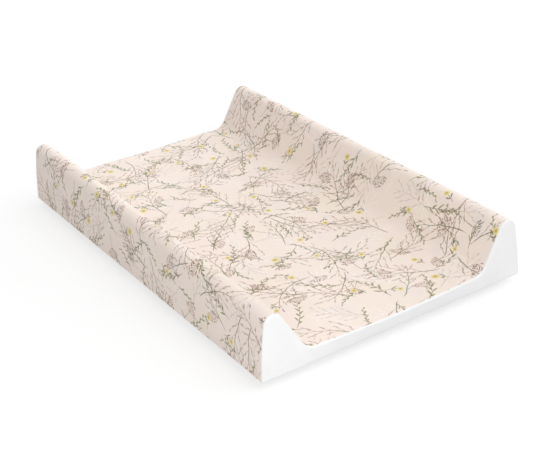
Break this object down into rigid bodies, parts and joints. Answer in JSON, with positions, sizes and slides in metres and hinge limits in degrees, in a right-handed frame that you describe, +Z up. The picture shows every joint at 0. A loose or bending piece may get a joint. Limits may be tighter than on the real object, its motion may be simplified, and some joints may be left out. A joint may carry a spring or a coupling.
{
  "type": "hard changing pad",
  "caption": "Baby changing pad on a stiff board: a flat foam lying surface between two raised side bolsters, in a wipe-clean patterned cover with plain end panels and cot stops beneath.",
  "frame": {"origin": "on the floor under the middle of the pad, in the plane of the cot stops' feet", "axes": "+Y along the pad from its foot end to its head end, +X across it to the right as seen from the foot end, +Z up"},
  "size_m": [0.5, 0.8098, 0.1202],
  "materials": {
    "printed_foil": "satin wipe-clean foil on a fleece backing, blush cream with a small botanical print",
    "white_foil": "satin white wipe-clean foil",
    "foam": "open-cell polyurethane foam, cut faces",
    "fibreboard": "bare pressed fibreboard",
    "white_polymer": "moulded white polypropylene",
    "zinc_plate": "zinc-plated steel"
  },
  "bodies": {
    "root": {"base_board": "fibreboard", "mattress_foam": "foam", "left_bolster_foam": "foam", "right_bolster_foam": "foam", "printed_cover": "printed_foil", "front_end_panel": "white_foil", "rear_end_panel": "white_foil", "cot_stop_front_left": "white_polymer", "cot_stop_front_right": "white_polymer", "cot_stop_rear_left": "white_polymer", "cot_stop_rear_right": "white_polymer", "stop_screw_front_left_a": "zinc_plate", "stop_screw_front_left_b": "zinc_plate", "stop_screw_front_right_a": "zinc_plate", "stop_screw_front_right_b": "zinc_plate", "stop_screw_rear_left_a": "zinc_plate", "stop_screw_rear_left_b": "zinc_plate", "stop_screw_rear_right_a": "zinc_plate", "stop_screw_rear_right_b": "zinc_plate"}
  },
  "joints": []
}
